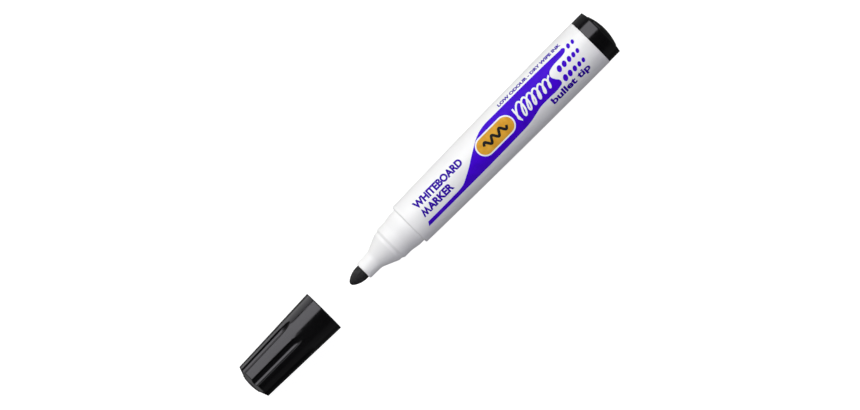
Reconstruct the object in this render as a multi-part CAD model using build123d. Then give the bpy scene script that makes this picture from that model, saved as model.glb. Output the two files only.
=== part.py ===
"""Whiteboard marker with its cap off, held in line in front of the nib.

Millimetres. The marker lies along X with the nib towards -X and the tail towards +X, the
middle of its print faces +Z, and the origin is on the surface that it lies on, under the
middle of its length. Every piece is made about the marker's own axis, with x = 0 at the
barrel's front shoulder, and is moved into place when it is written out.
"""

import os

from build123d import *

# ---- the two radii that the rest are built up from ----
SEAT_RADIUS = 7.42  # cylinder of the nozzle that the cap closes on
NIB_RADIUS = 2.75

# ---- barrel: crowned, slightly tapered tube, open at the tail ----
BARREL_LENGTH = 90.0
BARREL_SHOULDER = 1.08  # width of its front face round the nozzle
BARREL_TAPER = 1.05  # growth of its radius from the shoulder to the tail
BARREL_CROWN = 0.26  # bulge of the outline over a straight taper, at mid length
BARREL_WALL = 0.90
SHOULDER_EDGE_RADIUS = 0.50
BARREL_STEP_X = 6.0  # inside step that the nozzle's flange seats on
BARREL_RIB_COUNT = 6  # ribs that keep the reservoir in the middle
BARREL_RIB_WIDTH = 0.8
BARREL_RIB_END_GAP = 2.0  # from the nozzle's flange, and from the tail plug

# ---- nozzle: lengths add up forward from the shoulder ----
SEAT_LENGTH = 2.2
SEAT_CONE_LENGTH = 3.5
SEAT_CONE_DROP = 0.59  # in radius, from the seat to the collar
COLLAR_LENGTH = 3.3
COLLAR_STEP_LENGTH = 0.9
COLLAR_STEP_DROP = 0.58  # in radius, from the collar to the sealing band
BAND_LENGTH = 1.1
FLARE_LENGTH = 6.1
SNOUT_ROOT_WALL = 0.87
SNOUT_TIP_WALL = 0.75
SNOUT_LENGTH = 5.6
FLARE_BLEND_RADIUS = 4.0
BAND_BLEND_RADIUS = 1.6
COLLAR_BLEND_RADIUS = 0.35
SEAT_BLEND_RADIUS = 6.0
SNOUT_EDGE_RADIUS = 0.2
NOZZLE_WALL = 1.0
NOZZLE_FLANGE_LENGTH = 1.5
NIB_GRIP_LENGTH = 9.0  # length of the bore that holds the nib

# ---- nib ----
NIB_REACH = 6.5  # how far it stands out of the nozzle
NIB_NOSE_LENGTH = 5.6
NIB_NOSE_SHAPE = ((0.07, 0.32), (0.32, 0.665), (0.57, 0.873))  # shares of its length and radius
NIB_SHANK_IN_CORE = 9.0
NIB_SHANK_CHAMFER = 1.0

# ---- reservoir ----
CORE_DROP = 0.52  # in radius, from the nozzle's seat to the fibre
WRAP_THICKNESS = 0.15
RESERVOIR_REAR_GAP = 0.5  # to the tail plug's ribs

# ---- tail plug ----
PLUG_SKIRT_LENGTH = 5.1
PLUG_SKIRT_DROP = 0.08  # in radius, from the barrel to the skirt
PLUG_EDGE_RADIUS = 0.25
PLUG_FACE_DROP = 0.45  # fall of the end face from the dome's edge to the skirt
PLUG_DOME_INSET = 2.42  # from the skirt in to the dome's edge
PLUG_DOME_STEP = 0.15
PLUG_DOME_RISE = 1.30
PLUG_SPIGOT_LENGTH = 8.5
PLUG_SPIGOT_WALL = 1.1
PLUG_SEAT_STEP = 0.10  # the barrel is opened out by this for the spigot
PLUG_END_WALL = 1.4
PLUG_RIB_COUNT = 4
PLUG_RIB_THICKNESS = 0.9
PLUG_AIR_RADIUS = 2.2

# ---- cap ----
CAP_END_SPACE = 4.8  # from the inner cap's closed end to the cap's own
CAP_RIM_WALL = 0.88
CAP_TAPER = 1.19  # fall of its radius from the rim to the end's corner
CAP_FACE_RISE = 1.2  # rise of the end face from its corner to the button
CAP_END_EDGE_RADIUS = 0.30
CAP_RIM_EDGE_RADIUS = 0.12
CAP_BUTTON_RADIUS = 4.0
CAP_BUTTON_STEP = 0.12
CAP_BUTTON_RISE = 0.48
CAP_END_WALL = 1.5
CAP_LEDGE_RADIUS = 4.0  # ledge that the inner cap's closed end stops at
CAP_MOUTH_EXTRA = 0.4  # straight part of the bore past the nozzle's seat
CAP_DEEP_GAP = 0.4  # between the cap and the inner cap's tube
FLUTE_COUNT = 7
FLUTE_TURN = 5.0  # degrees from the top to the nearest flute, towards -Y
FLUTE_DEPTH = 1.1
FLUTE_LIP = 0.5  # height of the cutter's centre over the cap's side
FLUTE_EDGE_RADIUS = 0.2
FLUTE_START = 11.2  # from the open rim to the flutes' tips
FLUTE_RUNOUT_RADIUS = 18.0
FLUTE_LIFT_TURN = 32.0  # degrees of run-out arc, enough to clear the cap

# ---- inner cap ----
LINER_MOUTH_WALL = 0.65
LINER_TUBE_WALL = 0.8
LINER_RING_LENGTH = 2.6
LINER_MOUTH_LENGTH = 1.8  # straight bore that seals on the nozzle's band
LINER_SHOULDER = 0.38  # width of the face that stops against the cap
LINER_BORE_GAP = 0.58  # round the snout
LINER_END_WALL = 1.0
LINER_END_GAP = 1.8  # past the nib's tip
LINER_POCKET_DEPTH = 1.2
LINER_AIR_GAP = 0.15  # between the inner cap's cone and the cap

# ---- fits ----
PRESS_GAP = 0.02
CAP_CLEARANCE = 0.08
CAP_SEAT_GAP = 0.10  # rim to shoulder with the cap pushed home
LINER_STEP_GAP = 0.15  # inner cap's mouth to the collar's step with the cap pushed home
CAP_OFF_GAP = 13.1  # nib tip to the open rim with the cap off

# ---- radii that follow from the sizes above ----
BARREL_FRONT_RADIUS = SEAT_RADIUS + BARREL_SHOULDER
BARREL_TAIL_RADIUS = BARREL_FRONT_RADIUS + BARREL_TAPER
COLLAR_RADIUS = SEAT_RADIUS - SEAT_CONE_DROP
BAND_RADIUS = COLLAR_RADIUS - COLLAR_STEP_DROP
SNOUT_ROOT_RADIUS = NIB_RADIUS + SNOUT_ROOT_WALL
SNOUT_TIP_RADIUS = NIB_RADIUS + SNOUT_TIP_WALL
SLEEVE_RADIUS = SEAT_RADIUS - PRESS_GAP
CORE_RADIUS = SEAT_RADIUS - CORE_DROP
WRAP_RADIUS = CORE_RADIUS + WRAP_THICKNESS
PLUG_SKIRT_RADIUS = BARREL_TAIL_RADIUS - PLUG_SKIRT_DROP
PLUG_DOME_RADIUS = PLUG_SKIRT_RADIUS - PLUG_DOME_INSET
LINER_BORE_RADIUS = SNOUT_ROOT_RADIUS + LINER_BORE_GAP
LINER_TUBE_RADIUS = LINER_BORE_RADIUS + LINER_TUBE_WALL
LINER_MOUTH_RADIUS = BAND_RADIUS + CAP_CLEARANCE
LINER_RING_RADIUS = LINER_MOUTH_RADIUS + LINER_MOUTH_WALL
LINER_CONE_RADIUS = LINER_RING_RADIUS - LINER_SHOULDER
CAP_MOUTH_RADIUS = SEAT_RADIUS + CAP_CLEARANCE
CAP_RIM_RADIUS = CAP_MOUTH_RADIUS + CAP_RIM_WALL
CAP_END_RADIUS = CAP_RIM_RADIUS - CAP_TAPER
CAP_DEEP_RADIUS = LINER_TUBE_RADIUS + CAP_DEEP_GAP
FLUTE_CUTTER_RADIUS = FLUTE_DEPTH + FLUTE_LIP


def barrel_radius(x):
    """Outside radius of the barrel at x: a straight taper with a slight crown on it."""
    share = x / BARREL_LENGTH
    taper = BARREL_FRONT_RADIUS + (BARREL_TAIL_RADIUS - BARREL_FRONT_RADIUS) * share
    return taper + 4 * BARREL_CROWN * share * (1 - share)


def cap_radius(u):
    """Outside radius of the cap at a distance u from its open rim."""
    return CAP_RIM_RADIUS + (CAP_END_RADIUS - CAP_RIM_RADIUS) * u / CAP_CORNER_DEPTH


# ---- places that follow from the sizes above, along the marker's axis ----
COLLAR_FRONT_X = -(SEAT_LENGTH + SEAT_CONE_LENGTH + COLLAR_LENGTH)
BAND_REAR_X = COLLAR_FRONT_X - COLLAR_STEP_LENGTH
BAND_FRONT_X = BAND_REAR_X - BAND_LENGTH
SNOUT_ROOT_X = BAND_FRONT_X - FLARE_LENGTH
MOUTH_X = SNOUT_ROOT_X - SNOUT_LENGTH
NIB_TIP_X = MOUTH_X - NIB_REACH
FLARE_SLOPE = (BAND_RADIUS - SNOUT_ROOT_RADIUS) / FLARE_LENGTH
FLANGE_REAR_X = BARREL_STEP_X + NOZZLE_FLANGE_LENGTH
BARREL_STEP_RADIUS = barrel_radius(BARREL_STEP_X) - BARREL_WALL
SPIGOT_FRONT_X = BARREL_LENGTH - PLUG_SPIGOT_LENGTH
SPIGOT_BORE_RADIUS = barrel_radius(SPIGOT_FRONT_X) - BARREL_WALL + PLUG_SEAT_STEP
SPIGOT_RADIUS = SPIGOT_BORE_RADIUS - PRESS_GAP
SPIGOT_BORE_FRONT_X = SPIGOT_FRONT_X - PLUG_SEAT_STEP
RESERVOIR_FRONT_X = FLANGE_REAR_X
RESERVOIR_REAR_X = SPIGOT_FRONT_X - RESERVOIR_REAR_GAP
NIB_REAR_X = RESERVOIR_FRONT_X + NIB_SHANK_IN_CORE
SKIRT_END_X = BARREL_LENGTH + PLUG_SKIRT_LENGTH
TAIL_X = SKIRT_END_X + PLUG_FACE_DROP + PLUG_DOME_STEP + PLUG_DOME_RISE

# ---- depths in the cap, measured from its open rim with the cap pushed home ----
CAP_MOUTH_DEPTH = SEAT_LENGTH + CAP_MOUTH_EXTRA
LINER_MOUTH_DEPTH = -BAND_REAR_X - CAP_SEAT_GAP + LINER_STEP_GAP
LINER_RING_END_DEPTH = LINER_MOUTH_DEPTH + LINER_RING_LENGTH
LINER_TIP_DEPTH = -NIB_TIP_X - CAP_SEAT_GAP + LINER_END_GAP
LINER_END_DEPTH = LINER_TIP_DEPTH + LINER_END_WALL
CAP_LENGTH = LINER_END_DEPTH + CAP_END_SPACE
CAP_CORNER_DEPTH = CAP_LENGTH - CAP_FACE_RISE - CAP_BUTTON_STEP - CAP_BUTTON_RISE

# ---- the cap's place, pulled off, and the place of the whole ----
CAP_RIM_X = NIB_TIP_X - CAP_OFF_GAP
CAP_TRAVEL = -CAP_SEAT_GAP - CAP_RIM_X
CAP_END_X = CAP_RIM_X - CAP_LENGTH
AXIS_HEIGHT = max(barrel_radius(BARREL_LENGTH * step / 20) for step in range(21))
PLACE = Location((-(CAP_END_X + TAIL_X) / 2, 0, AXIS_HEIGHT))


def turned(*edges, rounded=()):
    """Solid of revolution about X; the edges run from the axis round to the axis.

    Each item of rounded is an (x, radius) corner of the outline and its rounding.
    """
    outline = Wire(edges)
    closing = Line(outline @ 1, outline @ 0)
    face = make_face(Wire([*edges, closing]))
    for corner, rounding in rounded:
        face = fillet(face.vertices().sort_by_distance(corner)[0], rounding)
    return revolve(face, Axis.X)


def turned_corners(*corners):
    """Solid of revolution about X from (x, radius) corners joined by straight lines."""
    return revolve(make_face(Polyline(*corners, close=True)), Axis.X)


def circle_edge(solid, x, radius):
    """The circular edge of a turned solid nearest to a place on its outline."""

    def distance(edge):
        return abs(edge.arc_center.X - x) + abs(edge.radius - radius)

    return solid.edges().filter_by(GeomType.CIRCLE).sort_by(distance)[0]


def arc_outline(radius_at, start, end):
    """Arc from start to end along X through the radius that radius_at gives."""
    middle = (start + end) / 2
    return ThreePointArc(
        (start, radius_at(start)), (middle, radius_at(middle)), (end, radius_at(end))
    )


def dome(edge_x, radius, apex_x):
    """Arc from the edge of a domed end to its apex, with its centre on the axis."""
    rise = apex_x - edge_x
    sphere = (radius**2 + rise**2) / (2 * abs(rise))
    fall = sphere - (sphere**2 - (radius / 2) ** 2) ** 0.5
    halfway_x = apex_x - fall * rise / abs(rise)
    return ThreePointArc((edge_x, radius), (halfway_x, radius / 2), (apex_x, 0))


def barrel():
    """Tube with a front hole for the nozzle, an inside step, ribs and a plug seat."""
    outside = turned(
        Line((0, 0), (0, BARREL_FRONT_RADIUS)),
        arc_outline(barrel_radius, 0, BARREL_LENGTH),
        Line((BARREL_LENGTH, BARREL_TAIL_RADIUS), (BARREL_LENGTH, 0)),
        rounded=[((0, BARREL_FRONT_RADIUS), SHOULDER_EDGE_RADIUS)],
    )

    def bore_radius(x):
        return barrel_radius(x) - BARREL_WALL

    bore = turned(
        Line((BARREL_STEP_X, 0), (BARREL_STEP_X, BARREL_STEP_RADIUS)),
        arc_outline(bore_radius, BARREL_STEP_X, SPIGOT_BORE_FRONT_X),
        Line(
            (SPIGOT_BORE_FRONT_X, bore_radius(SPIGOT_BORE_FRONT_X)),
            (SPIGOT_FRONT_X, SPIGOT_BORE_RADIUS),
        ),
        Line((SPIGOT_FRONT_X, SPIGOT_BORE_RADIUS), (BARREL_LENGTH, SPIGOT_BORE_RADIUS)),
        Line((BARREL_LENGTH, SPIGOT_BORE_RADIUS), (BARREL_LENGTH, 0)),
    )
    front_hole = turned_corners(
        (0, 0), (0, SEAT_RADIUS), (BARREL_STEP_X, SEAT_RADIUS), (BARREL_STEP_X, 0)
    )
    tube = outside - bore - front_hole
    rib_front = FLANGE_REAR_X + BARREL_RIB_END_GAP
    rib_length = SPIGOT_BORE_FRONT_X - BARREL_RIB_END_GAP - rib_front
    rib_bottom = WRAP_RADIUS + PRESS_GAP
    rib_height = BARREL_TAIL_RADIUS - rib_bottom
    rib = Pos(rib_front, 0, rib_bottom) * Box(
        rib_length,
        BARREL_RIB_WIDTH,
        rib_height,
        align=(Align.MIN, Align.CENTER, Align.MIN),
    )
    inner_skin = turned(
        Line((0, 0), (0, BARREL_FRONT_RADIUS - BARREL_WALL / 2)),
        arc_outline(lambda x: barrel_radius(x) - BARREL_WALL / 2, 0, BARREL_LENGTH),
        Line((BARREL_LENGTH, BARREL_TAIL_RADIUS - BARREL_WALL / 2), (BARREL_LENGTH, 0)),
    )
    for number in range(BARREL_RIB_COUNT):
        turn = Rot(X=360 * number / BARREL_RIB_COUNT)
        tube += (turn * rib) & inner_skin
    return tube


def nozzle_outline():
    """Outside of the nozzle from the mouth back to the shoulder, with its blends."""
    corners = [
        (MOUTH_X, SNOUT_TIP_RADIUS),
        (SNOUT_ROOT_X, SNOUT_ROOT_RADIUS),
        (BAND_FRONT_X, BAND_RADIUS),
        (BAND_REAR_X, BAND_RADIUS),
        (COLLAR_FRONT_X, COLLAR_RADIUS),
        (-SEAT_LENGTH - SEAT_CONE_LENGTH, COLLAR_RADIUS),
        (-SEAT_LENGTH, SEAT_RADIUS),
        (0, SEAT_RADIUS),
    ]
    blends = [
        FLARE_BLEND_RADIUS,
        BAND_BLEND_RADIUS,
        COLLAR_BLEND_RADIUS,
        COLLAR_BLEND_RADIUS,
        SEAT_BLEND_RADIUS,
        SEAT_BLEND_RADIUS,
    ]
    return FilletPolyline(*corners, radius=blends)


def nozzle():
    """Snout, flare, sealing band and cap seat, with a sleeve and flange in the barrel."""
    outside = turned(
        Line((MOUTH_X, 0), (MOUTH_X, SNOUT_TIP_RADIUS)),
        *nozzle_outline().edges(),
        Line((0, SEAT_RADIUS), (0, SLEEVE_RADIUS)),
        Line((0, SLEEVE_RADIUS), (BARREL_STEP_X, SLEEVE_RADIUS)),
        Line((BARREL_STEP_X, SLEEVE_RADIUS), (BARREL_STEP_X, BARREL_STEP_RADIUS - PRESS_GAP)),
        Line(
            (BARREL_STEP_X, BARREL_STEP_RADIUS - PRESS_GAP),
            (FLANGE_REAR_X, BARREL_STEP_RADIUS - PRESS_GAP),
        ),
        Line((FLANGE_REAR_X, BARREL_STEP_RADIUS - PRESS_GAP), (FLANGE_REAR_X, 0)),
        rounded=[((MOUTH_X, SNOUT_TIP_RADIUS), SNOUT_EDGE_RADIUS)],
    )
    bore_radius = NIB_RADIUS + PRESS_GAP
    grip_rear_x = MOUTH_X + NIB_GRIP_LENGTH
    nib_bore = turned_corners(
        (MOUTH_X, 0), (MOUTH_X, bore_radius), (grip_rear_x, bore_radius), (grip_rear_x, 0)
    )
    chamber = turned_corners(
        (grip_rear_x, 0),
        (grip_rear_x, bore_radius),
        (BAND_REAR_X, BAND_RADIUS - NOZZLE_WALL),
        (-SEAT_LENGTH - SEAT_CONE_LENGTH, COLLAR_RADIUS - NOZZLE_WALL),
        (0, SEAT_RADIUS - NOZZLE_WALL),
        (FLANGE_REAR_X, SEAT_RADIUS - NOZZLE_WALL),
        (FLANGE_REAR_X, 0),
    )
    return outside - nib_bore - chamber


def nib():
    """Bullet-pointed fibre rod that runs from the tip into the reservoir."""
    shoulder_x = NIB_TIP_X + NIB_NOSE_LENGTH
    flank = [
        (NIB_TIP_X + along * NIB_NOSE_LENGTH, out * NIB_RADIUS) for along, out in NIB_NOSE_SHAPE
    ]
    nose = Spline(
        (NIB_TIP_X, 0), *flank, (shoulder_x, NIB_RADIUS), tangents=[(0, 1), (1, 0)]
    )
    return turned(
        nose,
        Line((shoulder_x, NIB_RADIUS), (NIB_REAR_X - NIB_SHANK_CHAMFER, NIB_RADIUS)),
        Line(
            (NIB_REAR_X - NIB_SHANK_CHAMFER, NIB_RADIUS),
            (NIB_REAR_X, NIB_RADIUS - NIB_SHANK_CHAMFER),
        ),
        Line((NIB_REAR_X, NIB_RADIUS - NIB_SHANK_CHAMFER), (NIB_REAR_X, 0)),
    )


def reservoir_core():
    """Fibre ink reservoir with the socket that the nib's shank is pushed into."""
    core = turned_corners(
        (RESERVOIR_FRONT_X, 0),
        (RESERVOIR_FRONT_X, CORE_RADIUS),
        (RESERVOIR_REAR_X, CORE_RADIUS),
        (RESERVOIR_REAR_X, 0),
    )
    socket_radius = NIB_RADIUS + PRESS_GAP
    socket = turned_corners(
        (RESERVOIR_FRONT_X, 0),
        (RESERVOIR_FRONT_X, socket_radius),
        (NIB_REAR_X, socket_radius),
        (NIB_REAR_X, 0),
    )
    return core - socket


def reservoir_wrap():
    """Film sleeve round the reservoir."""
    return turned_corners(
        (RESERVOIR_FRONT_X, CORE_RADIUS),
        (RESERVOIR_FRONT_X, WRAP_RADIUS),
        (RESERVOIR_REAR_X, WRAP_RADIUS),
        (RESERVOIR_REAR_X, CORE_RADIUS),
    )


def tail_plug():
    """Plug with a hollow spigot in the barrel, a skirt behind it and a domed end."""
    dome_edge_x = SKIRT_END_X + PLUG_FACE_DROP
    dome_start_x = dome_edge_x + PLUG_DOME_STEP
    body = turned(
        Line((SPIGOT_FRONT_X, 0), (SPIGOT_FRONT_X, SPIGOT_RADIUS)),
        Line((SPIGOT_FRONT_X, SPIGOT_RADIUS), (BARREL_LENGTH, SPIGOT_RADIUS)),
        Line((BARREL_LENGTH, SPIGOT_RADIUS), (BARREL_LENGTH, PLUG_SKIRT_RADIUS)),
        Line((BARREL_LENGTH, PLUG_SKIRT_RADIUS), (SKIRT_END_X, PLUG_SKIRT_RADIUS)),
        Line((SKIRT_END_X, PLUG_SKIRT_RADIUS), (dome_edge_x, PLUG_DOME_RADIUS)),
        Line((dome_edge_x, PLUG_DOME_RADIUS), (dome_start_x, PLUG_DOME_RADIUS)),
        dome(dome_start_x, PLUG_DOME_RADIUS, TAIL_X),
        rounded=[((SKIRT_END_X, PLUG_SKIRT_RADIUS), PLUG_EDGE_RADIUS)],
    )
    hollow_radius = SPIGOT_RADIUS - PLUG_SPIGOT_WALL
    hollow_end_x = SKIRT_END_X - PLUG_END_WALL
    hollow_length = hollow_end_x - SPIGOT_FRONT_X
    axial = (Align.CENTER, Align.CENTER, Align.MIN)
    along = Pos(SPIGOT_FRONT_X, 0, 0) * Rot(Y=90)
    hollow = along * Cylinder(hollow_radius, hollow_length, align=axial)
    air_way = along * Cylinder(PLUG_AIR_RADIUS, hollow_length, align=axial)
    rib = Pos(SPIGOT_FRONT_X, 0, 0) * Box(
        hollow_length,
        PLUG_RIB_THICKNESS,
        hollow_radius,
        align=(Align.MIN, Align.CENTER, Align.MIN),
    )
    for number in range(PLUG_RIB_COUNT):
        hollow -= Rot(X=360 * (number + 0.5) / PLUG_RIB_COUNT) * rib
    return body - (hollow + air_way)


def flute_cutter():
    """Round cutter along the cap's side that lifts out in an arc towards the open rim."""
    full_u = FLUTE_START + (2 * FLUTE_RUNOUT_RADIUS * FLUTE_DEPTH) ** 0.5
    far_u = CAP_LENGTH + FLUTE_CUTTER_RADIUS
    centre_lift = FLUTE_CUTTER_RADIUS - FLUTE_DEPTH
    taper = (cap_radius(full_u) - cap_radius(CAP_CORNER_DEPTH)) / (CAP_CORNER_DEPTH - full_u)
    near_y = cap_radius(full_u) + centre_lift
    far_y = near_y - (far_u - full_u) * taper
    straight = Line((-far_u, far_y), (-full_u, near_y))
    run_out = JernArc(straight @ 1, straight % 1, FLUTE_RUNOUT_RADIUS, FLUTE_LIFT_TURN)
    path = Wire([*straight.edges(), *run_out.edges()])
    section = Plane(origin=path @ 0, z_dir=path % 0) * Circle(FLUTE_CUTTER_RADIUS)
    return sweep(section, path)


def cap_outside():
    """Tapered outside of the cap with its flutes, rim at x = 0 and closed end towards -X."""
    button_x = -CAP_CORNER_DEPTH - CAP_FACE_RISE
    dome_x = button_x - CAP_BUTTON_STEP
    body = turned(
        Line((0, 0), (0, CAP_RIM_RADIUS)),
        Line((0, CAP_RIM_RADIUS), (-CAP_CORNER_DEPTH, CAP_END_RADIUS)),
        Line((-CAP_CORNER_DEPTH, CAP_END_RADIUS), (button_x, CAP_BUTTON_RADIUS)),
        Line((button_x, CAP_BUTTON_RADIUS), (dome_x, CAP_BUTTON_RADIUS)),
        dome(dome_x, CAP_BUTTON_RADIUS, -CAP_LENGTH),
        rounded=[
            ((0, CAP_RIM_RADIUS), CAP_RIM_EDGE_RADIUS),
            ((-CAP_CORNER_DEPTH, CAP_END_RADIUS), CAP_END_EDGE_RADIUS),
        ],
    )
    first_turn = 90 + FLUTE_TURN
    pitch = 360 / FLUTE_COUNT
    body = Rot(X=first_turn + pitch / 2) * body  # its seam lies between two flutes
    cutter = flute_cutter()
    for number in range(FLUTE_COUNT):
        body -= Rot(X=first_turn + number * pitch) * cutter
    flute_edges = [
        edge
        for edge in body.edges().filter_by(GeomType.BSPLINE)
        if edge.bounding_box().size.X > FLUTE_CUTTER_RADIUS
    ]
    return fillet(flute_edges, FLUTE_EDGE_RADIUS)


def cap_shell():
    """Fluted cap with a bore over the nozzle's seat and a seat for the inner cap."""
    seat_radius = LINER_RING_RADIUS + PRESS_GAP
    cone_radius = LINER_CONE_RADIUS + LINER_AIR_GAP
    cone_length = (cone_radius - CAP_DEEP_RADIUS) / FLARE_SLOPE
    pocket_radius = LINER_TUBE_RADIUS + PRESS_GAP
    pocket_x = -LINER_END_DEPTH + LINER_POCKET_DEPTH
    ledge_x = -LINER_END_DEPTH - PRESS_GAP
    end_x = -CAP_CORNER_DEPTH + CAP_END_WALL
    bore = turned_corners(
        (0, 0),
        (0, CAP_MOUTH_RADIUS),
        (-CAP_MOUTH_DEPTH, CAP_MOUTH_RADIUS),
        (-LINER_MOUTH_DEPTH, seat_radius),
        (-LINER_RING_END_DEPTH, seat_radius),
        (-LINER_RING_END_DEPTH, cone_radius),
        (-LINER_RING_END_DEPTH - cone_length, CAP_DEEP_RADIUS),
        (pocket_x, CAP_DEEP_RADIUS),
        (pocket_x, pocket_radius),
        (ledge_x, pocket_radius),
        (ledge_x, CAP_LEDGE_RADIUS),
        (end_x, CAP_LEDGE_RADIUS),
        (end_x, 0),
    )
    shell = cap_outside() - bore
    shell = fillet(circle_edge(shell, 0, CAP_MOUTH_RADIUS), CAP_RIM_EDGE_RADIUS)
    return Pos(CAP_RIM_X, 0, 0) * shell


def cap_liner():
    """Inner cap: a thimble that seals on the nozzle's band and closes round the nib."""
    mouth_x = -LINER_MOUTH_DEPTH
    ring_end_x = -LINER_RING_END_DEPTH
    cone_length = (LINER_CONE_RADIUS - LINER_TUBE_RADIUS) / FLARE_SLOPE
    bore_cone_x = mouth_x - LINER_MOUTH_LENGTH
    bore_cone_length = (LINER_MOUTH_RADIUS - LINER_BORE_RADIUS) / FLARE_SLOPE
    outside = turned_corners(
        (mouth_x, 0),
        (mouth_x, LINER_RING_RADIUS),
        (ring_end_x, LINER_RING_RADIUS),
        (ring_end_x, LINER_CONE_RADIUS),
        (ring_end_x - cone_length, LINER_TUBE_RADIUS),
        (-LINER_END_DEPTH, LINER_TUBE_RADIUS),
        (-LINER_END_DEPTH, 0),
    )
    bore = turned_corners(
        (mouth_x, 0),
        (mouth_x, LINER_MOUTH_RADIUS),
        (bore_cone_x, LINER_MOUTH_RADIUS),
        (bore_cone_x - bore_cone_length, LINER_BORE_RADIUS),
        (-LINER_TIP_DEPTH, LINER_BORE_RADIUS),
        (-LINER_TIP_DEPTH, 0),
    )
    return Pos(CAP_RIM_X, 0, 0) * (outside - bore)


PIECES = {
    "barrel": barrel,
    "nozzle": nozzle,
    "nib": nib,
    "reservoir_core": reservoir_core,
    "reservoir_wrap": reservoir_wrap,
    "tail_plug": tail_plug,
    "cap_shell": cap_shell,
    "cap_liner": cap_liner,
}

os.makedirs("parts", exist_ok=True)
for name, make in PIECES.items():
    piece = PLACE * make()
    piece.label = name
    export_step(piece, f"parts/{name}.step")
print("cap travel (mm):", round(CAP_TRAVEL, 3))
print("axis height (mm):", round(AXIS_HEIGHT, 3))
print("shoulder at x (mm):", round(PLACE.position.X, 3))
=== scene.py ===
"""Looks of the whiteboard marker with its cap off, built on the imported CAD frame.

Metres. The marker lies along X with the nib towards -X, its print faces +Z, and print is laid
out on the barrel as seen from above: x runs from the front shoulder, y is up in the lettering.
"""

import math

import bmesh
import bpy
from mathutils import Matrix, Vector


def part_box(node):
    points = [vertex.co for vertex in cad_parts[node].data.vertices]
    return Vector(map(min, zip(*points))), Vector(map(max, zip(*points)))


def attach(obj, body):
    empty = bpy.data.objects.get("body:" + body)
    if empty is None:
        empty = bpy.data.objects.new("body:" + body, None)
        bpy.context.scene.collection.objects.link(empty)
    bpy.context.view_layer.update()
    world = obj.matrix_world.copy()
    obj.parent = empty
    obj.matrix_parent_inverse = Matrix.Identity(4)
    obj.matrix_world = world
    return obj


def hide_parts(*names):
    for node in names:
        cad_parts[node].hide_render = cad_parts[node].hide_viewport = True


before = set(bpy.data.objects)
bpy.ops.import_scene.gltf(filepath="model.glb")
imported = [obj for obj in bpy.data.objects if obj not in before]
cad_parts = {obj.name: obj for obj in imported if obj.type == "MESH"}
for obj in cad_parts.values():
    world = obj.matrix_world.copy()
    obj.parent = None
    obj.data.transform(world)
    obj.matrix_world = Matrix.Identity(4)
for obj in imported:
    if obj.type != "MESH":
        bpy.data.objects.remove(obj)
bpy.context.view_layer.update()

MM = 0.001
TURNS = 256  # facets round a turned piece
ARC_STEPS = 8  # points along a rounded corner

# ---- sizes of the turned pieces, in millimetres, as in the CAD model ----
BARREL_LENGTH = 90.0
BARREL_FRONT_RADIUS = 8.50
BARREL_TAIL_RADIUS = 9.55
BARREL_CROWN = 0.26
BARREL_BORE_RADIUS = 8.55
BARREL_TAIL_EDGE_RADIUS = 0.12
SEAT_RADIUS = 7.42
SHOULDER_EDGE_RADIUS = 0.50
BARREL_INSIDE = (  # from the tail's bore to the hole for the nozzle, as corners
    (60.0, 8.42, 0),
    (30.0, 8.08, 0),
    (6.0, 7.73, 0),
    (6.0, SEAT_RADIUS, 0),
)
CROWN_STEPS = 45  # straight runs along the barrel's crowned side
PRINT_THICKNESS = 0.02
PRINT_SINK = 0.03  # depth of a print layer's underside in the barrel
CUT_ACROSS = 0.25  # spacing of the cuts that let a print layer bend round the barrel
CUTS_EACH_WAY = 31
CUT_ALONG = 3

NOZZLE_CORNERS = (  # x from the shoulder, radius, rounding
    (-22.7, 2.78, 0),
    (-22.7, 3.50, 0.2),
    (-17.1, 3.62, 4.0),
    (-11.0, 6.25, 1.6),
    (-9.9, 6.25, 0.35),
    (-9.0, 6.83, 0.35),
    (-5.7, 6.83, 6.0),
    (-2.2, 7.42, 6.0),
    (0.0, 7.42, 0),
    (0.0, 7.40, 0),
    (6.0, 7.40, 0),
    (6.0, 7.70, 0),
    (7.5, 7.70, 0),
    (7.5, 6.42, 0),
    (0.0, 6.42, 0),
    (-5.7, 5.83, 0),
    (-9.9, 5.25, 0),
    (-13.7, 2.78, 0),
)
NIB_TIP_X = -29.2
NIB_NOSE_LENGTH = 5.6
NIB_RADIUS = 2.75
NIB_REAR_X = 16.5
NIB_REAR_CHAMFER = 1
NIB_NOSE = (  # shares of the nose's length and of the nib's radius
    (0.012, 0.13),
    (0.04, 0.24),
    (0.07, 0.32),
    (0.13, 0.43),
    (0.22, 0.56),
    (0.32, 0.665),
    (0.44, 0.775),
    (0.57, 0.873),
    (0.72, 0.945),
    (0.86, 0.985),
    (1.0, 1.0),
)
PLUG_CORNERS = (
    (81.5, 7.5, 0),
    (81.5, 8.57, 0.1),
    (89.9, 8.57, 0),
    (90.05, 9.40, 0),
    (90.1, 9.47, 0.05),
    (95.1, 9.47, 0.25),
    (95.55, 7.05, 0.05),
    (95.70, 7.05, 0),
)
PLUG_DOME_RADIUS = 7.05
PLUG_DOME_X = 95.7
PLUG_TAIL_X = 97.0
PLUG_INSIDE_X = 92.0
PLUG_BORE_RADIUS = 7.5
DOME_STEPS = 24

barrel_low, barrel_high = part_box("barrel")
SHOULDER_X = barrel_low[0]
AXIS_Z = (barrel_low[2] + barrel_high[2]) / 2


# ---- mesh helpers ----
def new_object(name, mesh, body):
    piece = bpy.data.objects.new(name, mesh)
    bpy.context.scene.collection.objects.link(piece)
    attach(piece, body)
    return piece


def finished_mesh(name, build, crease=0.5):
    """Mesh from a bmesh, smooth but for the edges that turn by more than crease radians."""
    bmesh.ops.remove_doubles(build, verts=build.verts, dist=1e-8)
    bmesh.ops.recalc_face_normals(build, faces=build.faces)
    for face in build.faces:
        face.smooth = True
    for edge in build.edges:
        if len(edge.link_faces) == 2 and edge.calc_face_angle() > crease:
            edge.smooth = False
    mesh = bpy.data.meshes.new(name)
    build.to_mesh(mesh)
    build.free()
    return mesh


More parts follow.
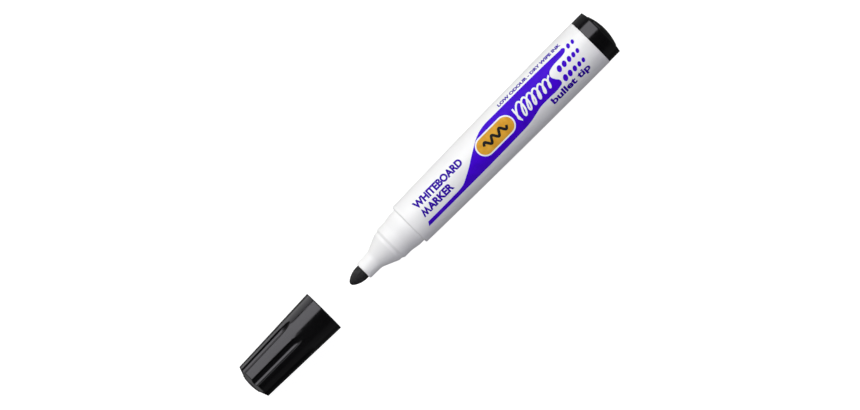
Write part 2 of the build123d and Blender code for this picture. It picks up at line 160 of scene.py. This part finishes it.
def rounded_outline(corners):
    """Closed outline through (x, radius, rounding) corners, with an arc at each rounding."""
    points = []
    count = len(corners)
    for number, (x, radius, rounding) in enumerate(corners):
        here = Vector((x, radius))
        if rounding == 0:
            points.append(here)
            continue
        before = (Vector(corners[number - 1][:2]) - here).normalized()
        after = (Vector(corners[(number + 1) % count][:2]) - here).normalized()
        half = before.angle(after) / 2
        reach = rounding / math.tan(half)
        centre = here + (before + after).normalized() * rounding / math.sin(half)
        start = here + before * reach - centre
        end = here + after * reach - centre
        turn = start.angle_signed(end)
        for step in range(ARC_STEPS + 1):
            spoke = Matrix.Rotation(-turn * step / ARC_STEPS, 2) @ start
            points.append(centre + spoke)
    return [(point.x, point.y) for point in points]


def turned(name, outline, closed=True):
    """Mesh turned about the marker's axis from (x, radius) points in millimetres."""
    build = bmesh.new()
    rings = []
    for x, radius in outline:
        ring = []
        for number in range(TURNS if radius > 0 else 1):
            angle = 2 * math.pi * number / TURNS
            place = Vector(
                (
                    SHOULDER_X + x * MM,
                    radius * MM * math.sin(angle),
                    AXIS_Z + radius * MM * math.cos(angle),
                )
            )
            ring.append(build.verts.new(place))
        rings.append(ring)
    pairs = list(zip(rings, rings[1:]))
    if closed:
        pairs.append((rings[-1], rings[0]))
    for first, second in pairs:
        for number in range(TURNS):
            following = (number + 1) % TURNS
            if len(first) == 1 and len(second) == 1:
                break
            if len(first) == 1:
                build.faces.new((first[0], second[number], second[following]))
            elif len(second) == 1:
                build.faces.new((first[number], second[0], first[following]))
            else:
                build.faces.new(
                    (first[number], second[number], second[following], first[following])
                )
    return finished_mesh(name, build)


def barrel_radius(x):
    share = x / BARREL_LENGTH
    taper = BARREL_FRONT_RADIUS + (BARREL_TAIL_RADIUS - BARREL_FRONT_RADIUS) * share
    return taper + 4 * BARREL_CROWN * share * (1 - share)


# ---- material helpers ----
class Nodes:
    """Short way to make and link shader nodes in one material."""

    def __init__(self, name):
        self.material = bpy.data.materials.new(name)
        self.material.use_nodes = True
        self.tree = self.material.node_tree
        self.shader = self.tree.nodes["Principled BSDF"]
        self.place = self.add("ShaderNodeTexCoord").outputs["Object"]

    def add(self, kind, **values):
        node = self.tree.nodes.new(kind)
        for name, value in values.items():
            setattr(node, name, value)
        return node

    def link(self, source, socket):
        self.tree.links.new(source, socket)

    def set(self, **values):
        for name, value in values.items():
            self.shader.inputs[name.replace("_", " ")].default_value = value

    def stretched(self, scale):
        mapping = self.add("ShaderNodeMapping")
        mapping.inputs["Scale"].default_value = scale
        self.link(self.place, mapping.inputs["Vector"])
        return mapping.outputs["Vector"]

    def noise(self, scale, detail=2.0, vector=None, roughness=0.5):
        noise = self.add("ShaderNodeTexNoise")
        noise.inputs["Scale"].default_value = scale
        noise.inputs["Detail"].default_value = detail
        noise.inputs["Roughness"].default_value = roughness
        self.link(vector or self.place, noise.inputs["Vector"])
        return noise.outputs["Fac"]

    def spread(self, source, low, high, start=0.3, end=0.7):
        """The source's range from start to end, moved to the range from low to high."""
        spread = self.add("ShaderNodeMapRange")
        for name, value in zip(
            ("From Min", "From Max", "To Min", "To Max"), (start, end, low, high)
        ):
            spread.inputs[name].default_value = value
        self.link(source, spread.inputs["Value"])
        return spread.outputs["Result"]

    def blend(self, factor, first, second):
        mix = self.add("ShaderNodeMix", data_type="RGBA")
        self.link(factor, mix.inputs["Factor"])
        for value, socket in ((first, mix.inputs[6]), (second, mix.inputs[7])):
            if isinstance(value, tuple):
                socket.default_value = (*value, 1)
            else:
                self.link(value, socket)
        return mix.outputs[2]

    def bump(self, height, depth, strength=1.0, below=None):
        bump = self.add("ShaderNodeBump")
        bump.inputs["Strength"].default_value = strength
        bump.inputs["Distance"].default_value = depth
        self.link(height, bump.inputs["Height"])
        if below:
            self.link(below, bump.inputs["Normal"])
        return bump.outputs["Normal"]


def moulded_plastic(name, dark, light, rough_low, rough_high, grain, marks, sheen=(1, 1, 1)):
    """Injection-moulded plastic: slow tone drift, fine mould grain and faint rub marks."""
    nodes = Nodes(name)
    drift = nodes.noise(90, 3)
    tone = nodes.blend(nodes.spread(drift, 0, 1), dark, light)
    nodes.link(tone, nodes.shader.inputs["Base Color"])
    cloud = nodes.noise(420, 4)
    rubs = nodes.noise(900, 2, nodes.stretched((0.12, 1.0, 1.0)), 0.7)
    worn = nodes.spread(rubs, 0, marks, 0.62, 0.72)
    rough = nodes.add("ShaderNodeMath", operation="ADD")
    nodes.link(nodes.spread(cloud, rough_low, rough_high), rough.inputs[0])
    nodes.link(worn, rough.inputs[1])
    nodes.link(rough.outputs[0], nodes.shader.inputs["Roughness"])
    fine = nodes.noise(5200, 2)
    soft = nodes.noise(260, 2)
    normal = nodes.bump(soft, grain * 4, 0.35)
    nodes.link(nodes.bump(fine, grain, 0.5, normal), nodes.shader.inputs["Normal"])
    nodes.set(Specular_Tint=(*sheen, 1))
    return nodes


def fibre(name, dark, light, across):
    """Bonded fibres that run along the marker."""
    nodes = Nodes(name)
    strands = nodes.noise(across, 4, nodes.stretched((0.08, 1.0, 1.0)), 0.7)
    clumps = nodes.noise(700, 3)
    tone = nodes.blend(nodes.spread(strands, 0, 1), dark, light)
    patchy = nodes.blend(nodes.spread(clumps, 0, 0.4), tone, dark)
    nodes.link(patchy, nodes.shader.inputs["Base Color"])
    nodes.link(nodes.spread(clumps, 0.62, 0.85), nodes.shader.inputs["Roughness"])
    normal = nodes.bump(clumps, 0.00006, 0.5)
    nodes.link(nodes.bump(strands, 0.00003, 0.8, normal), nodes.shader.inputs["Normal"])
    return nodes


def printed_ink(name, dark, light):
    """Screen-printed ink: slightly uneven film with pinhole grain."""
    nodes = Nodes(name)
    film = nodes.noise(380, 3)
    tone = nodes.blend(nodes.spread(film, 0, 1), dark, light)
    nodes.link(tone, nodes.shader.inputs["Base Color"])
    grain = nodes.noise(3000, 2)
    nodes.link(nodes.spread(grain, 0.42, 0.56), nodes.shader.inputs["Roughness"])
    nodes.link(nodes.bump(grain, 0.000004, 0.5), nodes.shader.inputs["Normal"])
    nodes.set(Specular_IOR_Level=0.08)
    return nodes.material


white_plastic = moulded_plastic(
    "white_plastic", (0.90, 0.90, 0.905), (0.94, 0.94, 0.935), 0.30, 0.38, 0.000003, 0.05
).material
nozzle_plastic = moulded_plastic(
    "nozzle_plastic", (0.90, 0.90, 0.90), (0.94, 0.94, 0.935), 0.36, 0.46, 0.000004, 0.04
).material
black_plastic = moulded_plastic(
    "black_plastic",
    (0.0020, 0.0020, 0.0023),
    (0.0034, 0.0034, 0.0037),
    0.13,
    0.18,
    0.000002,
    0.08,
    (0.95, 0.93, 1.0),
).material
liner_plastic = moulded_plastic(
    "liner_plastic", (0.012, 0.012, 0.013), (0.02, 0.02, 0.021), 0.42, 0.52, 0.000005, 0.06
).material
nib_fibre = fibre("nib_fibre", (0.006, 0.006, 0.007), (0.035, 0.034, 0.036), 2600).material
reservoir_fibre = fibre("reservoir_fibre", (0.02, 0.02, 0.024), (0.07, 0.07, 0.075), 2200).material
reservoir_film = moulded_plastic(
    "reservoir_film", (0.80, 0.81, 0.83), (0.88, 0.89, 0.90), 0.12, 0.2, 0.000004, 0.05
).material
ink = printed_ink("print_ink", (0.048, 0.0, 0.60), (0.064, 0.0, 0.70))
ink_text = printed_ink("print_text", (0.030, 0.0, 0.34), (0.042, 0.0, 0.42))
ink_black = printed_ink("print_black", (0.008, 0.010, 0.010), (0.016, 0.018, 0.018))
ink_orange = printed_ink("print_accent", (0.66, 0.31, 0.022), (0.78, 0.42, 0.045))
ink_white = printed_ink("print_white", (0.88, 0.88, 0.89), (0.94, 0.94, 0.95))


def dress(piece, material):
    piece.data.materials.clear()
    piece.data.materials.append(material)


def turned_piece(node, outline, material, closed=True):
    piece = new_object(node + "_turned", turned(node + "_turned", outline, closed), "marker")
    dress(piece, material)
    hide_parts(node)
    return piece


# ---- turned pieces ----
barrel_corners = [(0, SEAT_RADIUS, 0), (0, BARREL_FRONT_RADIUS, SHOULDER_EDGE_RADIUS)]
for step in range(1, CROWN_STEPS):
    along = BARREL_LENGTH * step / CROWN_STEPS
    barrel_corners.append((along, barrel_radius(along), 0))
barrel_corners += [
    (BARREL_LENGTH, BARREL_TAIL_RADIUS, BARREL_TAIL_EDGE_RADIUS),
    (BARREL_LENGTH, BARREL_BORE_RADIUS, 0),
    *BARREL_INSIDE,
]
turned_piece("barrel", rounded_outline(barrel_corners), white_plastic)
turned_piece("nozzle", rounded_outline(NOZZLE_CORNERS), nozzle_plastic)

nib_outline = [(NIB_TIP_X, 0)]
for along, out in NIB_NOSE:
    nib_outline.append((NIB_TIP_X + along * NIB_NOSE_LENGTH, out * NIB_RADIUS))
nib_outline += [
    (NIB_REAR_X - NIB_REAR_CHAMFER, NIB_RADIUS),
    (NIB_REAR_X, NIB_RADIUS - NIB_REAR_CHAMFER),
    (NIB_REAR_X, 0),
]
turned_piece("nib", nib_outline, nib_fibre, closed=False)

plug_outline = rounded_outline(PLUG_CORNERS)
dome_rise = PLUG_TAIL_X - PLUG_DOME_X
sphere = (PLUG_DOME_RADIUS**2 + dome_rise**2) / (2 * dome_rise)
for step in range(DOME_STEPS - 1, -1, -1):
    out = PLUG_DOME_RADIUS * step / DOME_STEPS
    plug_outline.append((PLUG_TAIL_X - sphere + math.sqrt(sphere**2 - out**2), out))
plug_outline += [(PLUG_INSIDE_X, 0), (PLUG_INSIDE_X, PLUG_BORE_RADIUS)]
turned_piece("tail_plug", plug_outline, black_plastic)

for node, material in (
    ("cap_shell", black_plastic),
    ("cap_liner", liner_plastic),
    ("reservoir_core", reservoir_fibre),
    ("reservoir_wrap", reservoir_film),
):
    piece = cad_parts[node]
    piece.data.materials.clear()
    piece.data.materials.append(material)


# ---- print: thin closed layers laid over the barrel ----
def flat_mesh(curve):
    """Filled flat mesh of a 2D curve or text."""
    holder = bpy.data.objects.new("flat", curve)
    bpy.context.scene.collection.objects.link(holder)
    view = bpy.context.evaluated_depsgraph_get()
    mesh = bpy.data.meshes.new_from_object(holder.evaluated_get(view))
    bpy.data.objects.remove(holder)
    return mesh


def filled(loops):
    """Filled flat mesh of closed loops of (x, y) millimetres; an inner loop is a hole."""
    curve = bpy.data.curves.new("loops", "CURVE")
    curve.dimensions = "2D"
    curve.fill_mode = "BOTH"
    for loop in loops:
        spline = curve.splines.new("POLY")
        spline.points.add(len(loop) - 1)
        for point, (x, y) in zip(spline.points, loop):
            point.co = (x, y, 0, 1)
        spline.use_cyclic_u = True
    return flat_mesh(curve)


def on_barrel(x, y, lift):
    """Place straight above (x, y) on the barrel's surface, raised by lift, all millimetres."""
    radius = barrel_radius(x)
    rise = math.sqrt(radius**2 - y**2)
    reach = 1 + lift / radius
    return Vector((SHOULDER_X + x * MM, y * reach * MM, AXIS_Z + rise * reach * MM))


def layer(name, flat, level, material, shift=(0, 0)):
    """Lays a flat mesh on the barrel as a closed layer; a higher level lies on a lower one."""
    build = bmesh.new()
    build.from_mesh(flat)
    bmesh.ops.remove_doubles(build, verts=build.verts, dist=1e-5)
    for vert in build.verts:
        x, y, _ = vert.co
        vert.co = (shift[0] + x, shift[1] + y, 0)
    reach_x = [vert.co.x for vert in build.verts]
    reach_y = [vert.co.y for vert in build.verts]
    across = range(-CUTS_EACH_WAY, CUTS_EACH_WAY + 1)
    cuts = [((0, at * CUT_ACROSS, 0), (0, 1, 0)) for at in across]
    cuts += [((at, 0, 0), (1, 0, 0)) for at in range(CUT_ALONG, int(BARREL_LENGTH), CUT_ALONG)]
    for place, normal in cuts:
        inside = (
            min(reach_y) < place[1] < max(reach_y)
            if normal[1]
            else min(reach_x) < place[0] < max(reach_x)
        )
        if inside:
            everything = build.verts[:] + build.edges[:] + build.faces[:]
            bmesh.ops.bisect_plane(
                build, geom=everything, plane_co=place, plane_no=normal, dist=1e-6
            )
    bmesh.ops.remove_doubles(build, verts=build.verts, dist=1e-5)
    tops = list(build.faces)
    for face in tops:
        if face.normal.z < 0:
            face.normal_flip()
    rims = [edge for edge in build.edges if len(edge.link_faces) == 1]
    copy = bmesh.ops.duplicate(build, geom=build.verts[:] + build.edges[:] + build.faces[:])
    under = copy["vert_map"]
    top_verts = {vert for face in tops for vert in face.verts}
    for face in [item for item in copy["geom"] if isinstance(item, bmesh.types.BMFace)]:
        face.normal_flip()
    for edge in rims:
        first, second = edge.verts
        build.faces.new((first, second, under[second], under[first]))
    for vert in build.verts:
        lift = PRINT_THICKNESS * level if vert in top_verts else -PRINT_SINK
        vert.co = on_barrel(vert.co.x, vert.co.y, lift)
    piece = new_object(name, finished_mesh(name, build), "marker")
    dress(piece, material)
    return piece


def smooth_loop(points, steps=6):
    """Closed loop through the points: rounded through those marked True, a corner at the rest."""
    count = len(points)
    loop = []
    for number in range(count):
        x1, y1, soft1 = points[number]
        x2, y2, soft2 = points[(number + 1) % count]
        x0, y0, _ = points[number - 1]
        x3, y3, _ = points[(number + 2) % count]
        chord = math.hypot(x2 - x1, y2 - y1)
        start = tangent((x0, y0), (x1, y1), (x2, y2), chord) if soft1 else (x2 - x1, y2 - y1)
        end = tangent((x1, y1), (x2, y2), (x3, y3), chord) if soft2 else (x2 - x1, y2 - y1)
        for step in range(steps):
            t = step / steps
            a = 2 * t**3 - 3 * t**2 + 1
            b = t**3 - 2 * t**2 + t
            c = 3 * t**2 - 2 * t**3
            d = t**3 - t**2
            loop.append(
                (
                    a * x1 + b * start[0] + c * x2 + d * end[0],
                    a * y1 + b * start[1] + c * y2 + d * end[1],
                )
            )
    return loop


def tangent(before, here, after, length):
    """Direction at a rounded point, as long as the chord beside it."""
    back = math.hypot(here[0] - before[0], here[1] - before[1])
    ahead = math.hypot(after[0] - here[0], after[1] - here[1])
    x = (here[0] - before[0]) / back * ahead + (after[0] - here[0]) / ahead * back
    y = (here[1] - before[1]) / back * ahead + (after[1] - here[1]) / ahead * back
    size = math.hypot(x, y)
    return x / size * length, y / size * length


def lettering(words, width, height, weight):
    """Filled flat mesh of words, fitted to a width and a height in millimetres."""
    text = bpy.data.curves.new(words, "FONT")
    text.body = words
    text.size = 10
    text.offset = weight
    text.resolution_u = 5
    mesh = flat_mesh(text)
    left = min(vert.co.x for vert in mesh.vertices)
    right = max(vert.co.x for vert in mesh.vertices)
    low = min(vert.co.y for vert in mesh.vertices)
    high = max(vert.co.y for vert in mesh.vertices)
    fit = Matrix.Diagonal((width / (right - left), height / (high - low), 1, 1))
    mesh.transform(fit @ Matrix.Translation((-left, -low, 0)))
    return mesh


def pill(left, right, low, high, steps=16):
    """Outline with two round ends."""
    radius = (high - low) / 2
    middle = (high + low) / 2
    loop = []
    for step in range(steps + 1):
        angle = -math.pi / 2 + math.pi * step / steps
        loop.append((right - radius + radius * math.cos(angle), middle + radius * math.sin(angle)))
    for step in range(steps + 1):
        angle = math.pi / 2 + math.pi * step / steps
        loop.append((left + radius + radius * math.cos(angle), middle + radius * math.sin(angle)))
    return loop


def stroke(name, path, width, low_level, high_level, material):
    """Pen stroke along a path, closed by flat ends; it climbs, so that it passes over itself."""
    build = bmesh.new()
    count = len(path)
    rows = []
    for number, (x, y) in enumerate(path):
        x0, y0 = path[max(number - 1, 0)]
        x1, y1 = path[min(number + 1, count - 1)]
        size = math.hypot(x1 - x0, y1 - y0)
        side = (-(y1 - y0) / size * width / 2, (x1 - x0) / size * width / 2)
        share = number / (count - 1)
        lift = PRINT_THICKNESS * (low_level + (high_level - low_level) * share)
        row = []
        for across, height in ((-1, -PRINT_SINK), (-1, lift), (0, lift), (1, lift), (1, -PRINT_SINK)):
            place = on_barrel(x + side[0] * across, y + side[1] * across, height)
            row.append(build.verts.new(place))
        rows.append(row)
    for first, second in zip(rows, rows[1:]):
        for number in range(5):
            following = (number + 1) % 5
            build.faces.new((first[number], first[following], second[following], second[number]))
    build.faces.new(rows[0])
    build.faces.new(rows[-1][::-1])
    piece = new_object(name, finished_mesh(name, build), "marker")
    dress(piece, material)
    return piece


BAND = (
    (4.6, -5.27, False),
    (5.5, -3.90, False),
    (18.5, -3.90, True),
    (20.5, -3.87, True),
    (23.2, -3.50, True),
    (26.0, -2.20, True),
    (29.0, -0.60, True),
    (32.0, 1.30, True),
    (35.0, 3.10, True),
    (38.0, 4.75, True),
    (41.0, 5.75, True),
    (44.5, 6.15, True),
    (46.5, 6.14, True),
    (80.0, 5.62, True),
    (81.5, 5.55, True),
    (81.9, 5.05, True),
    (81.3, 4.20, True),
    (79.8, 3.78, True),
    (77.0, 3.68, True),
    (74.1, 3.45, True),
    (72.2, 2.75, True),
    (71.4, 1.40, True),
    (72.1, -0.40, True),
    (73.0, -1.70, True),
    (72.8, -2.80, True),
    (71.0, -3.40, True),
    (66.0, -3.45, True),
    (61.5, -3.55, True),
    (58.5, -4.20, True),
    (55.5, -4.80, True),
    (52.0, -5.05, True),
    (50.0, -5.10, True),
)
layer("print_band", filled([smooth_loop(BAND)]), 1, ink)

BADGE_EDGE = (34.6, 51.9, -3.05, 4.25)  # left, right, low, high
BADGE = (35.15, 51.35, -2.50, 3.70)
WAVE_START = 37.9
WAVE_LENGTH = 10.7
WAVE_MIDDLE = 0.6
WAVE_COUNT = 3
WAVE_STEPS = 120
WAVE_STROKE = 1.0
layer("print_badge_edge", filled([pill(*BADGE_EDGE)]), 2, ink_white)
layer("print_badge", filled([pill(*BADGE)]), 3, ink_orange)
wave = []
for step in range(WAVE_STEPS + 1):
    share = step / WAVE_STEPS
    up = WAVE_MIDDLE + math.sin(share * WAVE_COUNT * 2 * math.pi)
    wave.append((WAVE_START + WAVE_LENGTH * share, up))
stroke("print_badge_wave", wave, WAVE_STROKE, 4, 5, ink_black)

LOOP_STEPS = 240
LOOP_COUNT = 6.5
LOOP_SHRINK = 0.42  # share of the first loop's size that the last one has lost
LOOP_HALF_WIDTH = 1.25
LOOP_HALF_HEIGHT = 2.75
LOOPS_START = 54.3
LOOPS_LENGTH = 16.2
LOOPS_MIDDLE = 0.35
LOOP_SLANT = 0.38
SCRIBBLE_STROKE = 0.70
scribble = [(53.9, 3.0), (53.75, 1.6), (53.7, 0.2), (53.75, -1.2), (54.0, -2.3)]
for step in range(6, LOOP_STEPS + 1):
    turn = step / LOOP_STEPS * LOOP_COUNT * 2 * math.pi
    size = 1 - LOOP_SHRINK * step / LOOP_STEPS
    x = LOOPS_START + LOOPS_LENGTH * step / LOOP_STEPS - LOOP_HALF_WIDTH * size * math.sin(turn)
    taller = 1.15 if math.cos(turn) < 0 else 0.9  # the loops reach higher than they hang
    y = LOOPS_MIDDLE - LOOP_HALF_HEIGHT * size * math.cos(turn) * taller
    scribble.append((x + LOOP_SLANT * y, y))
stroke("print_scribble", scribble, SCRIBBLE_STROKE, 3, 5, ink_white)

for name, words, place, size, weight in (
    ("print_title_upper", "WHITEBOARD", (5.7, 1.66), (22.9, 2.88), 0.5),
    ("print_title_m", "W", (5.7, 0.76), (3.55, -2.86), 0.5),  # upside down, it is the M
    ("print_title_lower", "ARKER", (9.05, -2.10), (11.4, 2.86), 0.5),
    ("print_note", "LOW ODOUR - DRY WIPE INK", (51.2, 6.72), (30.6, 1.08), 0.5),
    ("print_tip_word", "bullet tip", (65.6, -7.1), (18.2, 2.95), 0.36),
):
    layer(name, lettering(words, *size, weight), 1, ink_text, place)

DOT_HALF_WIDTH = 0.56  # shares of a dot's size
DOT_HALF_HEIGHT = 0.67
DOT_SLANT = 0.25
DOT_STEPS = 28
dots = []
for along, up, size in (
    (83.4, 4.70, 1.30),
    (85.5, 4.70, 1.15),
    (75.6, 1.25, 1.75),
    (78.0, 1.25, 1.65),
    (80.4, 1.25, 1.52),
    (82.5, 1.25, 1.38),
    (84.5, 1.25, 1.25),
    (74.9, -2.50, 1.75),
    (77.2, -2.50, 1.65),
    (79.5, -2.50, 1.50),
    (81.7, -2.50, 1.35),
    (83.7, -2.50, 1.22),
):
    loop = []
    for step in range(DOT_STEPS):
        angle = 2 * math.pi * step / DOT_STEPS
        y = size * DOT_HALF_HEIGHT * math.sin(angle)
        x = size * DOT_HALF_WIDTH * math.cos(angle) + DOT_SLANT * y
        loop.append((along + x, up + y))
    dots.append(loop)
layer("print_dots", filled(dots), 1, ink)


# ---- floor, backdrop, light and camera ----
def stage_object(name, build, glow):
    """Pale matt surface that only the camera sees, so it adds no light or reflection."""
    mesh = bpy.data.meshes.new(name)
    build.to_mesh(mesh)
    build.free()
    piece = bpy.data.objects.new(name, mesh)
    bpy.context.scene.collection.objects.link(piece)
    material = bpy.data.materials.new(name)
    material.use_nodes = True
    shader = material.node_tree.nodes["Principled BSDF"]
    shader.inputs["Base Color"].default_value = (0.30, 0.30, 0.30, 1)
    shader.inputs["Roughness"].default_value = 0.9
    shader.inputs["Specular IOR Level"].default_value = 0.1
    shader.inputs["Emission Color"].default_value = (1, 1, 1, 1)
    shader.inputs["Emission Strength"].default_value = glow
    mesh.materials.append(material)
    piece.visible_glossy = False
    piece.visible_diffuse = False
    piece.visible_shadow = False


ROOM_RADIUS = 3.86  # the round wall stands just behind every place that the camera looks from
ROOM_SIDES = 128
ROOM_HEIGHT = 4.0
ground = bmesh.new()
bmesh.ops.create_circle(ground, cap_ends=True, segments=ROOM_SIDES, radius=ROOM_RADIUS)
stage_object("floor", ground, 0.93)

wall = bmesh.new()
lower = []
for number in range(ROOM_SIDES):
    angle = math.tau * number / ROOM_SIDES
    lower.append(wall.verts.new((ROOM_RADIUS * math.cos(angle), ROOM_RADIUS * math.sin(angle), 0)))
upper = [wall.verts.new((vert.co.x, vert.co.y, ROOM_HEIGHT)) for vert in lower]
for number in range(ROOM_SIDES):
    following = (number + 1) % ROOM_SIDES
    wall.faces.new((lower[number], upper[number], upper[following], lower[following]))
stage_object("backdrop", wall, 0.95)


def rectangle_light(name, width, height, radiance):
    data = bpy.data.lights.new(name, "AREA")
    data.shape = "RECTANGLE"
    data.size = width
    data.size_y = height
    data.energy = radiance * math.pi * width * height
    light = bpy.data.objects.new(name, data)
    bpy.context.scene.collection.objects.link(light)
    return light


def area_light(name, direction, distance, width, height, radiance, glossy=True, tint=(1, 1, 1)):
    """Soft rectangular light that faces the marker; width runs along the marker."""
    light = rectangle_light(name, width, height, radiance)
    light.data.color = tint
    away = Vector(direction).normalized()
    right = Vector((1, 0, 0))
    right = (right - away * right.dot(away)).normalized()
    up = away.cross(right)
    facing = Matrix((right, up, away)).transposed().to_4x4()
    light.matrix_world = Matrix.Translation(away * distance) @ facing
    light.visible_glossy = glossy


def reflector(name, low, high, radiance):
    """Upright card that faces the marker from +Y, from one (x, y, z) corner to another."""
    card = rectangle_light(name, high[0] - low[0], high[2] - low[2], radiance)
    middle = (Vector(low) + Vector(high)) / 2
    card.matrix_world = Matrix.Translation(middle) @ Matrix.Rotation(-math.pi / 2, 4, "X")
    card.visible_camera = False


def at_angle(degrees):
    """Direction in the plane across the marker; 0 is straight up and 90 is towards +Y."""
    angle = math.radians(degrees)
    return (0, math.sin(angle), math.cos(angle))


area_light("key", at_angle(45.5), distance=0.7, width=0.55, height=0.73, radiance=2.9)
area_light(
    "fill_right",
    at_angle(-45),
    distance=0.9,
    width=1.0,
    height=0.8,
    radiance=1.22,
    glossy=False,
    tint=(0.98, 0.97, 1.07),
)
area_light(
    "fill_left", at_angle(45), distance=0.9, width=1.0, height=0.6, radiance=1.5, glossy=False
)

reflector("reflector", low=(-0.20, 0.50, -0.45), high=(-0.02, 0.50, 0.10), radiance=1.0)

world = bpy.data.worlds.new("studio")
bpy.context.scene.world = world
world.use_nodes = True
sky = world.node_tree
background = sky.nodes["Background"]
direction = sky.nodes.new("ShaderNodeTexCoord").outputs["Generated"]
split = sky.nodes.new("ShaderNodeSeparateXYZ")
sky.links.new(direction, split.inputs[0])


def sky_part(source, start, end, level):
    """Light that grows from 0 to level as a direction's X, Y or Z goes from start to end."""
    part = sky.nodes.new("ShaderNodeMapRange")
    sky.links.new(split.outputs[source], part.inputs["Value"])
    for name, value in (("From Min", start), ("From Max", end), ("To Max", level)):
        part.inputs[name].default_value = value
    return part.outputs["Result"]


def combined(operation, first, second):
    node = sky.nodes.new("ShaderNodeMath")
    node.operation = operation
    sky.links.new(first, node.inputs[0])
    sky.links.new(second, node.inputs[1])
    return node.outputs[0]


table_left = combined(
    "MULTIPLY",
    sky_part("Y", start=0.1, end=0.7, level=0.23),
    sky_part("Z", start=0.02, end=-0.08, level=1.0),
)
table_front = combined(
    "MULTIPLY",
    sky_part("X", start=-0.3, end=-0.7, level=0.5),
    sky_part("Z", start=-0.02, end=-0.12, level=1.0),
)
table = combined("MAXIMUM", table_left, table_front)
right_side = sky_part("Y", start=-0.85, end=-0.96, level=0.12)
room = combined("MAXIMUM", table, right_side)
DARKEST_SKY = 0.04
lowest = sky.nodes.new("ShaderNodeMath")
lowest.operation = "MAXIMUM"
lowest.inputs[1].default_value = DARKEST_SKY
sky.links.new(room, lowest.inputs[0])
sky.links.new(lowest.outputs[0], background.inputs["Strength"])
background.inputs["Color"].default_value = (1, 1, 1, 1)

camera_data = bpy.data.cameras.new("camera")
camera = bpy.data.objects.new("camera", camera_data)
bpy.context.scene.collection.objects.link(camera)
bpy.context.scene.camera = camera
CAMERA_X = 0.00105
CAMERA_Y = -0.00024
CAMERA_HEIGHT = 3.0  # above the marker's axis
SENSOR_WIDTH = 36.0
VIEW_WIDTH = 0.301  # that the frame covers at the marker's axis
ROLL = math.radians(-45.2)
camera_data.sensor_width = SENSOR_WIDTH
camera_data.lens = SENSOR_WIDTH * CAMERA_HEIGHT / VIEW_WIDTH
camera_place = Matrix.Translation((CAMERA_X, CAMERA_Y, AXIS_Z + CAMERA_HEIGHT))
camera.matrix_world = camera_place @ Matrix.Rotation(ROLL, 4, "Z")
bpy.context.scene.view_settings.view_transform = "Standard"
